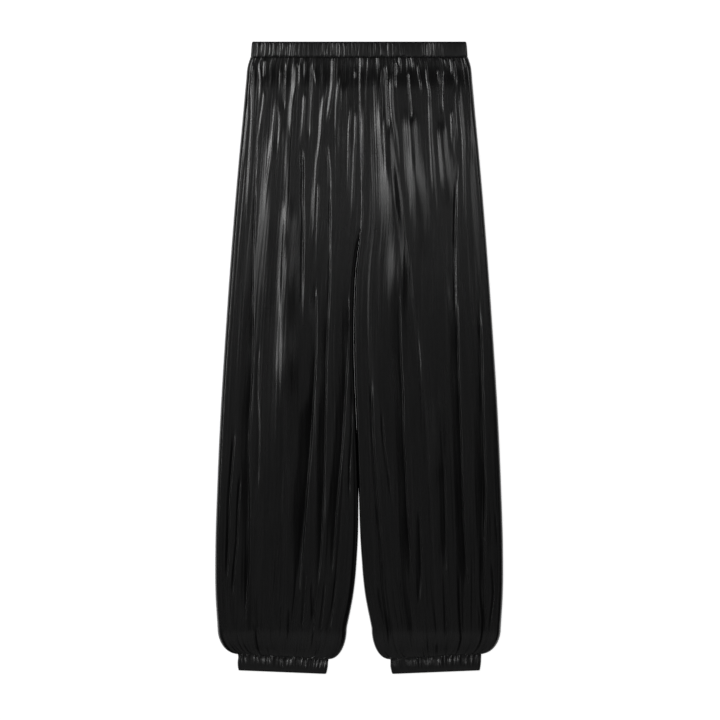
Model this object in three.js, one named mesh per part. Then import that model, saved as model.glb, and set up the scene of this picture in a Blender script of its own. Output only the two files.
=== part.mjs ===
// Balloon-leg palazzo trousers laid flat, front up: two full legs, gathered into an elastic waistband at
// the top and into an elastic cuff at each ankle. Each leg has a front panel and a back panel.
//
// Millimetres. The garment lies on z = 0, +Y points to the waist and +X is the wearer's left. The origin is
// the middle of the outline, on the surface. A "drop" is a distance below the waistband's top edge, "across"
// runs from 0 at the centre front or inseam to 1 at the side seam, and "side" and "inner" are distances
// from x = 0.
import * as THREE from "three";

const { lerp, smoothstep } = THREE.MathUtils;

const garmentLength = 1000; // waistband's top edge to the cuffs' lowest corner
const seamGap = 0.3; // between sewn pieces, and between layers that lie on each other
const frontWall = 2; // cloth of a front panel, measured straight up
const backWall = 2.4; // cloth of a back panel, which lies on the surface
const backShare = 0.6; // share of a front roll's height that the back under it rises
const rollPower = 2.2; // 2 makes a roll's section a parabola, and more makes its crest broader
const gatherRise = 2.2; // height of the small gathers beside the waistband and the cuffs
const waistReach = 75; // how far down the waist gathers run
const cuffReach = 55; // how far up the cuff gathers run
const edgeShare = 0.06; // share of a panel's width over which it comes down to the seam at each edge

const bandThickness = 7; // waistband or cuff lying flat: two layers of elastic in its casing
const bandWall = 2.9; // one of those layers
const rucheDepth = 1.1; // depth of the ruching in the upper layer
const waistbandRuches = 60;
const cuffRuches = 20;
const lowerSteps = 6; // mesh columns in a flat tube's lower layer, which is plain
const endSteps = 4; // mesh columns round each end of a flat tube

// The flat outline of a leg down to where it starts to turn in over its cuff. Below the crotch the legs only
// lie side by side: sway is where they meet, and inner is half the gap between them. Loft lifts the front.
const legLevels = [
  { at: "waist seam", drop: 24.6, side: 172.6, inner: 0, sway: 0, loft: 0.6 },
  { at: "gathers", drop: 36, side: 176.2, inner: 0, sway: 0, loft: 0.6 },
  { at: "yoke", drop: 62, side: 179.2, inner: 0, sway: 0, loft: 0.5 },
  { at: "high hip", drop: 110, side: 183.6, inner: 0, sway: 1, loft: 0.5 },
  { at: "hip", drop: 180, side: 190.2, inner: 0, sway: 2.5, loft: 0.5 },
  { at: "crotch", drop: 280, side: 198.8, inner: 0, sway: 3, loft: 0.4 },
  { at: "upper thigh", drop: 370, side: 205.6, inner: 0, sway: -6, loft: 0.4 },
  { at: "thigh", drop: 480, side: 213.2, inner: 0, sway: -8.5, loft: 0.4 },
  { at: "knee", drop: 600, side: 220.4, inner: 0, sway: -4.5, loft: 0.4 },
  { at: "below knee", drop: 710, side: 225.2, inner: 0, sway: -1, loft: 0.5 },
  { at: "calf", drop: 805, side: 228, inner: 2.6, sway: 0, loft: 0.6 },
  { at: "low calf", drop: 875, side: 227.6, inner: 9, sway: 0, loft: 0.8 },
  { at: "blouse", drop: 928, side: 224.4, inner: 19.4, sway: 0, loft: 1 },
];
const cuffSeam = { sideDrop: 968.6, innerDrop: 977, side: 193.5, inner: 47 };
const hemSteps = 4; // levels in the round turn from the blouse to the cuff seam

const waistbandRows = [
  { at: "top edge", sideDrop: 0, innerDrop: 0, side: 170, inner: -170, ruche: 0.2 },
  { at: "top stitching", sideDrop: 3, innerDrop: 3, side: 170.4, inner: -170.4, ruche: 0.8 },
  { at: "lower stitching", sideDrop: 21, innerDrop: 21, side: 171.8, inner: -171.8, ruche: 1 },
  { at: "lower edge", sideDrop: 24.3, innerDrop: 24.3, side: 172, inner: -172, ruche: 0.9 },
];
const cuffRows = [
  { at: "cuff seam", sideDrop: 968.9, innerDrop: 977.3, side: 194.4, inner: 46.6, ruche: 1 },
  { at: "stitching", sideDrop: 983, innerDrop: 990, side: 194, inner: 48.4, ruche: 0.8 },
  { at: "hem edge", sideDrop: 994.6, innerDrop: 1000, side: 191.6, inner: 51.6, ruche: 0.15 },
];

// Rolls of cloth that run the length of a leg, from the centre out. The first five columns say how far
// across the valley on the outer side of a roll lies, and the last two how high its crest stands.
const valleyLevels = { waist: 30, hip: 210, thigh: 485, calf: 805, cuff: 955 };
const riseLevels = { hipRise: 120, legRise: 400 };
const rolls = {
  left: [
    { waist: 0.12, hip: 0.09, thigh: 0.1, calf: 0.135, cuff: 0.13, hipRise: 2.4, legRise: 3.4 },
    { waist: 0.27, hip: 0.275, thigh: 0.33, calf: 0.34, cuff: 0.31, hipRise: 5, legRise: 6.2 },
    { waist: 0.41, hip: 0.4, thigh: 0.465, calf: 0.5, cuff: 0.5, hipRise: 3.6, legRise: 4.6 },
    { waist: 0.7, hip: 0.79, thigh: 0.74, calf: 0.73, cuff: 0.7, hipRise: 5.2, legRise: 6.4 },
    { waist: 0.87, hip: 0.93, thigh: 0.905, calf: 0.86, cuff: 0.86, hipRise: 3.8, legRise: 5.2 },
    { waist: 1, hip: 1, thigh: 1, calf: 1, cuff: 1, hipRise: 2.2, legRise: 3.6 },
  ],
  right: [
    { waist: 0.13, hip: 0.13, thigh: 0.07, calf: 0.135, cuff: 0.15, hipRise: 2, legRise: 2.8 },
    { waist: 0.28, hip: 0.26, thigh: 0.22, calf: 0.255, cuff: 0.29, hipRise: 3.8, legRise: 5 },
    { waist: 0.45, hip: 0.47, thigh: 0.305, calf: 0.405, cuff: 0.44, hipRise: 4.6, legRise: 3.6 },
    { waist: 0.63, hip: 0.59, thigh: 0.53, calf: 0.56, cuff: 0.6, hipRise: 3.8, legRise: 6 },
    { waist: 0.85, hip: 0.83, thigh: 0.79, calf: 0.78, cuff: 0.77, hipRise: 5.2, legRise: 6.6 },
    { waist: 1, hip: 1, thigh: 1, calf: 1, cuff: 1, hipRise: 3.2, legRise: 5 },
  ],
};

// Where a panel's mesh columns stand on each roll, from -1 in one valley to 1 in the next. The back's are
// some of the front's, so that it nowhere comes through the front.
const frontPlaces = [-1, -0.75, -0.5, -0.25, 0, 0.25, 0.5, 0.75];
const backPlaces = [-0.75, -0.25, 0.25, 0.75];

const satin = { color: 0x0d0d0f, roughness: 0.4, metalness: 0 };
const ruchedSatin = { color: 0x0d0d0f, roughness: 0.5, metalness: 0 };

/** The value at a drop, from a table's row and the levels that its columns stand for. */
function atDrop(levels, row, drop) {
  const names = Object.keys(levels);
  const next = names.findIndex((name) => levels[name] >= drop);
  if (next < 0) return row[names.at(-1)];
  if (next === 0) return row[names[0]];
  const [above, below] = [names[next - 1], names[next]];
  return lerp(row[above], row[below], (drop - levels[above]) / (levels[below] - levels[above]));
}

/** The levels of a leg's mesh: the table's, then a quarter of an ellipse in to the cuff seam. */
function legMeshLevels() {
  const straight = legLevels.map((level) => ({ ...level, sideDrop: level.drop, innerDrop: level.drop }));
  const blouse = straight.at(-1);
  const turned = Array.from({ length: hemSteps }, (_, k) => {
    const angle = (((k + 1) / hemSteps) * Math.PI) / 2;
    return {
      sideDrop: lerp(blouse.sideDrop, cuffSeam.sideDrop, Math.sin(angle)),
      innerDrop: lerp(blouse.innerDrop, cuffSeam.innerDrop, Math.sin(angle)),
      side: lerp(cuffSeam.side, blouse.side, Math.cos(angle)),
      inner: lerp(cuffSeam.inner, blouse.inner, Math.cos(angle)),
      sway: 0,
      loft: blouse.loft * Math.cos(angle),
    };
  });
  return [...straight, ...turned];
}

/** The mesh columns of a panel at a drop: how far across each stands, and its place on its roll. */
function columnsAt(legRolls, drop, places) {
  const valleys = [0, ...legRolls.map((roll) => atDrop(valleyLevels, roll, drop))];
  const onRolls = legRolls.flatMap((roll, k) =>
    places.map((place) => ({ roll, place, across: lerp(valleys[k], valleys[k + 1], (place + 1) / 2) })),
  );
  const inseam = places[0] > -1 ? [{ roll: legRolls[0], place: -1, across: 0 }] : [];
  return [...inseam, ...onRolls, { roll: legRolls.at(-1), place: 1, across: 1 }];
}

/** Height of a roll's crest at a drop. It is sewn down flat at the waist and at the cuff. */
function crestRise(roll, drop) {
  const belowWaist = smoothstep(drop, 20, 110);
  const aboveCuff = smoothstep(cuffSeam.innerDrop - drop, 0, 50);
  return atDrop(riseLevels, roll, drop) * belowWaist * aboveCuff;
}

/** 0 on a panel's edges, where it is sewn, and 1 away from them. */
function awayFromEdges(across) {
  return smoothstep(across, 0, edgeShare) * smoothstep(1 - across, 0, edgeShare);
}

/** Height that the gathers add on every second column, most at the waist seam and the cuff seam. */
function gatherAt(drop, index) {
  const fromWaist = (drop - legLevels[0].drop) / waistReach;
  const fromCuff = (cuffSeam.sideDrop - drop) / cuffReach;
  const uneven = 0.7 + 0.3 * Math.sin(2.3 * index);
  return index % 2 ? gatherRise * uneven * (Math.exp(-(fromWaist ** 2)) + Math.exp(-(fromCuff ** 2))) : 0;
}

/** A front panel's underside: over the back, lofted, rolled and gathered. */
function frontUnderside(level, drop, { roll, place, across }, index) {
  const rolled = crestRise(roll, drop) * (1 - Math.abs(place) ** rollPower);
  return backWall + seamGap + (level.loft + rolled + gatherAt(drop, index)) * awayFromEdges(across);
}

/** A back panel's underside: on the surface, lifted under the middle of each roll. */
function backUnderside(level, drop, { roll, place, across }) {
  const underCrest = Math.abs(place) < 0.5 ? 1 : 0;
  return backShare * crestRise(roll, drop) * underCrest * awayFromEdges(across);
}

/** A closed mesh from its points and its faces of four corners, listed anticlockwise seen from outside. */
function solidFrom(points, faces) {
  const geometry = new THREE.BufferGeometry();
  geometry.setAttribute("position", new THREE.Float32BufferAttribute(points.flat(), 3));
  geometry.setIndex(faces.flatMap(([a, b, c, d]) => [a, b, c, a, c, d]));
  geometry.computeVertexNormals();
  return geometry;
}

/** A leg panel: a wall of cloth over the leg's outline. wearerSide is 1 on the wearer's left, else -1. */
function legPanel(legRolls, wearerSide, places, underside, wall) {
  const grid = legMeshLevels().map((level) => {
    const middle = (level.sideDrop + level.innerDrop) / 2;
    const innerX = level.sway + wearerSide * (level.inner + seamGap / 2);
    const spots = columnsAt(legRolls, middle, places).map((column, index) => {
      const drop = lerp(level.innerDrop, level.sideDrop, column.across);
      const x = lerp(innerX, wearerSide * level.side, column.across);
      return [x, garmentLength / 2 - drop, underside(level, drop, column, index)];
    });
    return wearerSide > 0 ? spots : spots.reverse();
  });
  const across = grid[0].length - 1;
  const down = grid.length - 1;
  const points = grid.flat().flatMap(([x, y, z]) => [[x, y, z], [x, y, z + wall]]);
  const under = (i, j) => 2 * (i * (across + 1) + j);
  const over = (i, j) => under(i, j) + 1;
  const faces = [];
  for (let i = 0; i < down; i++) {
    for (let j = 0; j < across; j++) {
      faces.push([over(i, j), over(i + 1, j), over(i + 1, j + 1), over(i, j + 1)]);
      faces.push([under(i, j), under(i, j + 1), under(i + 1, j + 1), under(i + 1, j)]);
    }
    faces.push([under(i, 0), under(i + 1, 0), over(i + 1, 0), over(i, 0)]);
    faces.push([under(i, across), over(i, across), over(i + 1, across), under(i + 1, across)]);
  }
  for (let j = 0; j < across; j++) {
    faces.push([under(0, j), over(0, j), over(0, j + 1), under(0, j + 1)]);
    faces.push([under(down, j), under(down, j + 1), over(down, j + 1), over(down, j)]);
  }
  return solidFrom(points, faces);
}

/**
 * Round the section of a tube pressed flat, from its left end: along the lower layer, round the right end,
 * back along the upper layer and round the left end. A spot is a share of the width, an angle and a ruche.
 */
function flatSection(ruches) {
  const upperSteps = 3 * ruches; // a ruche has one column in its trough and two on its crest
  const layer = (steps, angle, spot) => Array.from({ length: steps + 1 }, (_, k) => ({ angle, ...spot(k) }));
  const lower = layer(lowerSteps, -90, (k) => ({ share: k / lowerSteps, ruche: 0 }));
  const upper = layer(upperSteps, 90, (k) => {
    const trough = k > 0 && k < upperSteps && k % 3 === 0;
    return { share: 1 - k / upperSteps, ruche: trough ? 0.7 + 0.3 * Math.sin(1.7 * k) : 0 };
  });
  const turn = (share, from) => {
    const angles = Array.from({ length: endSteps - 1 }, (_, k) => from + ((k + 1) * 180) / endSteps);
    return angles.map((angle) => ({ share, angle, ruche: 0 }));
  };
  return [...lower, ...turn(1, -90), ...upper, ...turn(0, 90)];
}

/** A flat elastic tube, open at both ends and ruched on its upper layer, with a row for each level. */
function flatTube(rows, ruches, wearerSide) {
  const section = flatSection(ruches);
  const around = section.length;
  const middleHeight = bandThickness / 2;
  const ring = (row, radius, rucheRadius) => {
    const inner = { x: wearerSide * row.inner, drop: row.innerDrop };
    const side = { x: wearerSide * row.side, drop: row.sideDrop };
    const [left, right] = wearerSide > 0 ? [inner, side] : [side, inner];
    return section.map(({ share, angle, ruche }) => {
      const turned = THREE.MathUtils.degToRad(angle);
      const x = lerp(left.x + middleHeight, right.x - middleHeight, share) + radius * Math.cos(turned);
      const y = garmentLength / 2 - lerp(left.drop, right.drop, share);
      return [x, y, middleHeight + radius * Math.sin(turned) - rucheRadius * ruche];
    });
  };
  const outer = rows.flatMap((row) => ring(row, middleHeight, rucheDepth * row.ruche));
  const slot = [rows[0], rows.at(-1)].flatMap((row) => ring(row, middleHeight - bandWall, 0));
  const at = (i, k) => i * around + (k % around);
  const foot = rows.length - 1;
  const [slotTop, slotFoot] = [foot + 1, foot + 2];
  const faces = [];
  for (let k = 0; k < around; k++) {
    for (let i = 0; i < foot; i++) faces.push([at(i, k), at(i, k + 1), at(i + 1, k + 1), at(i + 1, k)]);
    faces.push([at(slotTop, k), at(slotFoot, k), at(slotFoot, k + 1), at(slotTop, k + 1)]);
    faces.push([at(0, k), at(slotTop, k), at(slotTop, k + 1), at(0, k + 1)]);
    faces.push([at(foot, k), at(foot, k + 1), at(slotFoot, k + 1), at(slotFoot, k)]);
  }
  return solidFrom([...outer, ...slot], faces);
}

function piece(name, geometry, finish) {
  const mesh = new THREE.Mesh(geometry, new THREE.MeshStandardMaterial(finish));
  mesh.name = name;
  return mesh;
}

const trousers = new THREE.Group();
trousers.add(piece("waistband", flatTube(waistbandRows, waistbandRuches, 1), ruchedSatin));
for (const [wearer, wearerSide] of [["left", 1], ["right", -1]]) {
  const front = legPanel(rolls[wearer], wearerSide, frontPlaces, frontUnderside, frontWall);
  const back = legPanel(rolls[wearer], wearerSide, backPlaces, backUnderside, backWall);
  trousers.add(piece(`${wearer}_leg_front`, front, satin));
  trousers.add(piece(`${wearer}_leg_back`, back, satin));
  trousers.add(piece(`${wearer}_cuff`, flatTube(cuffRows, cuffRuches, wearerSide), ruchedSatin));
}

export default trousers;
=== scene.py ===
import math

import bmesh
import bpy
import numpy as np
from mathutils import Matrix, Vector


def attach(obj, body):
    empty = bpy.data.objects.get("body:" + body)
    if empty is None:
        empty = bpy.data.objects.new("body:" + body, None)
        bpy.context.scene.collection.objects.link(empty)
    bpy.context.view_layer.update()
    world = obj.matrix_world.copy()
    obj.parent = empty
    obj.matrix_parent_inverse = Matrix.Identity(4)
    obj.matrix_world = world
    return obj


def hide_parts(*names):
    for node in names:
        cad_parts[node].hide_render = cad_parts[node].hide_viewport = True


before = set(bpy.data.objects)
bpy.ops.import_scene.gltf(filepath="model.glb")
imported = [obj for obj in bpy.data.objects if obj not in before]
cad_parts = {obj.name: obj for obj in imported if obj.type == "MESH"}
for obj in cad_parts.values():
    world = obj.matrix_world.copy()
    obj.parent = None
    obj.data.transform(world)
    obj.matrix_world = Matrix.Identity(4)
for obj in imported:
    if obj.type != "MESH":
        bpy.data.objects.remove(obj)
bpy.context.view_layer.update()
print("frame loaded:", ", ".join(sorted(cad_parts)))

# Everything is worked out in millimetres, and turned to metres when a mesh is placed.
# "drop" is a distance below the waistband's top edge, "across" runs from 0 at the centre front or
# inseam to 1 at the side seam, and "out" is a distance from x = 0 towards the wearer's side.
# side is 1 on the wearer's left, at +X, and -1 on the right.
mm = 0.001
garmentLength = 1000
weldReach = 0.001  # points closer than this are one


def smoothStep(low, high, value):
    t = np.clip((value - low) / (high - low), 0, 1)
    return t * t * (3 - 2 * t)


def smoothCurve(at, knots, values):
    # a cubic through the knots, whose slopes come from their neighbours
    knots, values = np.asarray(knots, float), np.asarray(values, float)
    slopes = np.gradient(values, knots)
    at = np.clip(at, knots[0], knots[-1])
    k = np.clip(np.searchsorted(knots, at) - 1, 0, len(knots) - 2)
    step = knots[k + 1] - knots[k]
    t = (at - knots[k]) / step
    return (
        values[k] * (1 + 2 * t) * (1 - t) ** 2 + slopes[k] * step * t * (1 - t) ** 2
        + values[k + 1] * (3 - 2 * t) * t * t - slopes[k + 1] * step * (1 - t) * t * t
    )


def bump(distance, width):
    return np.exp(-((distance / width) ** 2))


def roundOver(distance, radius):
    # 0 at an edge, rising as a quarter circle to 1
    t = 1 - np.clip(distance / radius, 0, 1)
    return np.sqrt(1 - t * t)


def addPiece(name, mesh, material):
    mesh.polygons.foreach_set("use_smooth", np.ones(len(mesh.polygons), bool))
    mesh.materials.append(material)
    piece = bpy.data.objects.new(name, mesh)
    bpy.context.scene.collection.objects.link(piece)
    return piece


def clothMesh(name, columns, rows, place, material, facesUp=True, closed=False):
    # a grid, whose points go where place(across the grid, down the grid) says, with a UV map in metres
    bm = bmesh.new()
    bm.loops.layers.uv.new("cloth")
    bmesh.ops.create_grid(bm, x_segments=columns, y_segments=rows, size=0.5, calc_uvs=True)
    if not facesUp:
        bmesh.ops.reverse_faces(bm, faces=bm.faces)
    mesh = bpy.data.meshes.new(name)
    bm.to_mesh(mesh)
    bm.free()
    spots = np.empty(len(mesh.vertices) * 3)
    mesh.vertices.foreach_get("co", spots)
    spots = spots.reshape(-1, 3)
    points, cloth = place(spots[:, 0] + 0.5, 0.5 - spots[:, 1])
    mesh.vertices.foreach_set("co", (np.stack(points, 1) * mm).ravel())
    corners = np.empty(len(mesh.loops), int)
    mesh.loops.foreach_get("vertex_index", corners)
    mesh.uv_layers["cloth"].data.foreach_set("uv", (np.stack(cloth, 1)[corners] * mm).ravel())
    if closed:
        bm = bmesh.new()
        bm.from_mesh(mesh)
        bmesh.ops.remove_doubles(bm, verts=bm.verts, dist=weldReach * mm)
        bmesh.ops.recalc_face_normals(bm, faces=bm.faces)
        bm.to_mesh(mesh)
        bm.free()
    return addPiece(name, mesh, material)


# Black satin, with a rougher finish where it is ruched over elastic.
silk = {
    "base": (0.0034, 0.0034, 0.0037),
    "specular": 0.5,
    "legRoughness": 0.26,
    "bandRoughness": 0.34,
    "roughnessSpread": 0.1,
    "gloss": 0.5,
    "glossRoughness": 0.2,
    "fleckStrength": 1.3,  # how far the gloss varies from yarn to yarn
    "streakStrength": 0.5,  # and in streaks
    "legCrinkleDepth": 0.00007,  # metres, of the crinkled lines down the cloth
    "bandCrinkleDepth": 0.00008,
    "yarnShare": 0.25,  # of the crinkles' depth
    # noise drawn out down the cloth: its width and length in metres, and its detail
    "crinkle": (0.0035, 0.11, 2),
    "yarn": (0.0009, 0.02, 1),
    "patch": (0.009, 0.16, 2),
    "fleck": (0.0014, 0.002, 1),
    "streak": (0.0026, 0.05, 1),
    "noiseRoughness": 0.55,
}


def newMaterial(name, colour):
    material = bpy.data.materials.new(name)
    material.use_nodes = True
    shader = material.node_tree.nodes["Principled BSDF"]
    shader.inputs["Base Color"].default_value = (*colour, 1)
    return material, shader


def socketLink(tree, source, output, target, entry):
    tree.links.new(source.outputs[output], target.inputs[entry])


def stretchedNoise(tree, uv, width, length, detail):
    # noise in lines that run down the cloth
    scale = tree.nodes.new("ShaderNodeVectorMath")
    scale.operation = "MULTIPLY"
    scale.inputs[1].default_value = (1 / width, 1 / length, 0)
    tree.links.new(uv, scale.inputs[0])
    noise = tree.nodes.new("ShaderNodeTexNoise")
    noise.noise_dimensions = "2D"
    noise.inputs["Scale"].default_value = 1
    noise.inputs["Detail"].default_value = detail
    noise.inputs["Roughness"].default_value = silk["noiseRoughness"]
    socketLink(tree, scale, "Vector", noise, "Vector")
    return noise.outputs["Fac"]


def mathNode(tree, operation, first, second):
    node = tree.nodes.new("ShaderNodeMath")
    node.operation = operation
    for entry, value in zip(node.inputs, (first, second)):
        if isinstance(value, (int, float)):
            entry.default_value = value
        else:
            tree.links.new(value, entry)
    return node.outputs[0]


def makeSatinGrain():
    # crinkled lines and yarns down the cloth, as a normal, an uneven roughness and an uneven gloss
    tree = bpy.data.node_groups.new("satinGrain", "ShaderNodeTree")
    sockets = tree.interface
    sockets.new_socket("Cloth", in_out="INPUT", socket_type="NodeSocketVector")
    sockets.new_socket("Depth", in_out="INPUT", socket_type="NodeSocketFloat")
    sockets.new_socket("Roughness", in_out="INPUT", socket_type="NodeSocketFloat")
    sockets.new_socket("Spread", in_out="INPUT", socket_type="NodeSocketFloat")
    sockets.new_socket("Normal", in_out="OUTPUT", socket_type="NodeSocketVector")
    sockets.new_socket("Roughness", in_out="OUTPUT", socket_type="NodeSocketFloat")
    sockets.new_socket("Gloss", in_out="OUTPUT", socket_type="NodeSocketFloat")
    entry = tree.nodes.new("NodeGroupInput")
    leave = tree.nodes.new("NodeGroupOutput")
    uv = entry.outputs["Cloth"]
    crinkle = stretchedNoise(tree, uv, *silk["crinkle"])
    yarn = stretchedNoise(tree, uv, *silk["yarn"])
    height = mathNode(tree, "ADD", crinkle, mathNode(tree, "MULTIPLY", yarn, silk["yarnShare"]))
    relief = tree.nodes.new("ShaderNodeBump")
    tree.links.new(entry.outputs["Depth"], relief.inputs["Distance"])
    tree.links.new(height, relief.inputs["Height"])
    socketLink(tree, relief, "Normal", leave, "Normal")
    patches = stretchedNoise(tree, uv, *silk["patch"])
    uneven = mathNode(tree, "MULTIPLY", mathNode(tree, "SUBTRACT", patches, 0.5), entry.outputs["Spread"])
    tree.links.new(mathNode(tree, "ADD", uneven, entry.outputs["Roughness"]), leave.inputs["Roughness"])
    fleck = stretchedNoise(tree, uv, *silk["fleck"])
    streak = stretchedNoise(tree, uv, *silk["streak"])
    mottle = mathNode(tree, "ADD", mathNode(tree, "MULTIPLY", fleck, silk["fleckStrength"]),
                      mathNode(tree, "MULTIPLY", streak, silk["streakStrength"]))
    mottle = mathNode(tree, "SUBTRACT", mottle, (silk["fleckStrength"] + silk["streakStrength"]) / 2)
    tree.links.new(mathNode(tree, "ADD", mottle, silk["gloss"]), leave.inputs["Gloss"])
    return tree


satinGrain = makeSatinGrain()


def makeSatin(name, roughness, depth):
    material, shader = newMaterial(name, silk["base"])
    tree = material.node_tree
    shader.inputs["Specular IOR Level"].default_value = silk["specular"]
    uv = tree.nodes.new("ShaderNodeUVMap")
    uv.uv_map = "cloth"
    grain = tree.nodes.new("ShaderNodeGroup")
    grain.node_tree = satinGrain
    grain.inputs["Depth"].default_value = depth
    grain.inputs["Roughness"].default_value = roughness
    grain.inputs["Spread"].default_value = silk["roughnessSpread"]
    socketLink(tree, uv, "UV", grain, "Cloth")
    socketLink(tree, grain, "Gloss", shader, "Coat Weight")
    shader.inputs["Coat Roughness"].default_value = silk["glossRoughness"]
    socketLink(tree, grain, "Normal", shader, "Normal")
    socketLink(tree, grain, "Normal", shader, "Coat Normal")
    socketLink(tree, grain, "Roughness", shader, "Roughness")
    return material


legSatin = makeSatin("blackSatin", silk["legRoughness"], silk["legCrinkleDepth"])
bandSatin = makeSatin("ruchedBlackSatin", silk["bandRoughness"], silk["bandCrinkleDepth"])
print("materials made")

# The flat outline of a leg: side is its side seam, sway is where the legs meet, and inner is half the
# gap between them.
legLevels = [
    dict(drop=23.6, side=172.2, inner=0, sway=0),
    dict(drop=36, side=176.2, inner=0, sway=0),
    dict(drop=62, side=179.2, inner=0, sway=0),
    dict(drop=110, side=183.6, inner=0, sway=1),
    dict(drop=180, side=190.2, inner=0, sway=2.5),
    dict(drop=280, side=198.8, inner=0, sway=3),
    dict(drop=370, side=205.6, inner=0, sway=-6),
    dict(drop=480, side=213.2, inner=0, sway=-8.5),
    dict(drop=600, side=220.4, inner=0, sway=-4.5),
    dict(drop=710, side=225.2, inner=0, sway=-1),
    dict(drop=805, side=228, inner=2.6, sway=0),
    dict(drop=875, side=227.6, inner=9, sway=0),
    dict(drop=928, side=224.4, inner=19.4, sway=0),
]
cuffSeam = {"sideDrop": 968.6, "innerDrop": 977, "side": 193.5, "inner": 47}
linePoints = {"leg": 200, "blouse": 40}


def makeLegLine():
    # the outline at closely spaced levels: the table's, then a quarter of an ellipse in to the cuff
    knots = [level["drop"] for level in legLevels]
    drops = np.linspace(knots[0], knots[-1], linePoints["leg"])
    line = {key: smoothCurve(drops, knots, [level[key] for level in legLevels])
            for key in ("side", "inner", "sway")}
    line["sideDrop"] = line["innerDrop"] = drops
    turn = np.linspace(0, math.pi / 2, linePoints["blouse"])[1:]
    for key, seam in cuffSeam.items():
        blouse = line[key][-1]
        reach = np.sin(turn) if key.endswith("Drop") else 1 - np.cos(turn)
        line[key] = np.append(line[key], blouse + (seam - blouse) * reach)
    line["sway"] = np.append(line["sway"], np.zeros(len(turn)))
    steps = np.hypot(np.diff(line["side"]), np.diff(line["sideDrop"]))
    line["path"] = np.append(0, np.cumsum(steps))
    return line


legLine = makeLegLine()
leg = {
    "seamGap": 0.1,
    "endSqueeze": 0.6,  # rows stand closer at the waist and the cuff
    "sideSqueeze": 0.35,  # and columns closer at the seams
    "frontColumns": 320,
    "frontRows": 149,
    "backColumns": 180,
    "backRows": 170,
    "clothWidth": 225,  # of a panel's UV map
    "thickness": 0.7,
    "edgeHeight": 1.55,  # top of the front at the side seam
    "frontLoft": 4.2,  # the front's lowest lie above that, in the valleys between rolls
    "layerGap": 1.2,  # from the back's top to the front's, as a share of the thickness
    "sideRadius": 6.5,
    "innerRadius": {"left": 3, "right": 9},
    "crotchDrop": (295, 350),
    "seamGroove": 0.25,
    "seamGrooveWidth": 1.2,
    "seamPucker": 0.2,
    "seamPuckerLength": 17,
    # share of the small gathers at the waist seam, and how far below it they are whole
    "pleatStart": {"left": (0.45, 14), "right": (0.28, 40)},
    "backGathers": 0.6,
    "backSeamReach": 8,
    "waistTuck": -0.32,  # the cloth stands up at the waist, and dips at the cuff
    "waistTuckReach": 16,
    "cuffTuck": 0.36,
    "cuffTuckReach": 14,
}
seeds = {"leftLegFront": 11, "rightLegFront": 23, "leftLegBack": 61, "rightLegBack": 73}


def onLeg(across, depth, side):
    # distance out, drop, and the leg's width there, for shares across and down the cloth
    across = across - leg["sideSqueeze"] * np.sin(2 * math.pi * across) / (2 * math.pi)
    down = depth - leg["endSqueeze"] * np.sin(2 * math.pi * depth) / (2 * math.pi)
    path = down * legLine["path"][-1]
    at = {key: np.interp(path, legLine["path"], legLine[key]) for key in legLine}
    near = side * at["sway"] + at["inner"] + leg["seamGap"] / 2
    width = at["side"] - near
    drop = at["innerDrop"] + (at["sideDrop"] - at["innerDrop"]) * across
    return across, near + width * across, drop, width, path


# Rolls that run the length of a leg, as in the CAD: how far across the valley on the outer side of a
# roll lies at each level, and how high its crest stands at the hip and below.
valleyLevels = (30, 210, 485, 805, 955)
riseLevels = (120, 400)
rolls = {
    "left": [
        dict(valley=(0.12, 0.09, 0.1, 0.135, 0.13), rise=(3.6, 3.8)),
        dict(valley=(0.27, 0.275, 0.33, 0.34, 0.31), rise=(4.2, 5.4)),
        dict(valley=(0.41, 0.4, 0.465, 0.5, 0.5), rise=(4.2, 4.8)),
        dict(valley=(0.7, 0.79, 0.74, 0.73, 0.7), rise=(4.8, 5.8)),
        dict(valley=(0.87, 0.93, 0.905, 0.86, 0.86), rise=(4.4, 5.2)),
        dict(valley=(1, 1, 1, 1, 1), rise=(3.6, 4)),
    ],
    "right": [
        dict(valley=(0.13, 0.13, 0.07, 0.135, 0.15), rise=(3.6, 3.6)),
        dict(valley=(0.28, 0.26, 0.22, 0.255, 0.29), rise=(4, 4.8)),
        dict(valley=(0.45, 0.47, 0.305, 0.405, 0.44), rise=(4.6, 4.4)),
        dict(valley=(0.63, 0.59, 0.53, 0.56, 0.6), rise=(4.4, 5.6)),
        dict(valley=(0.85, 0.83, 0.79, 0.78, 0.77), rise=(4.8, 6)),
        dict(valley=(1, 1, 1, 1, 1), rise=(4.2, 4.8)),
    ],
}

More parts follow.
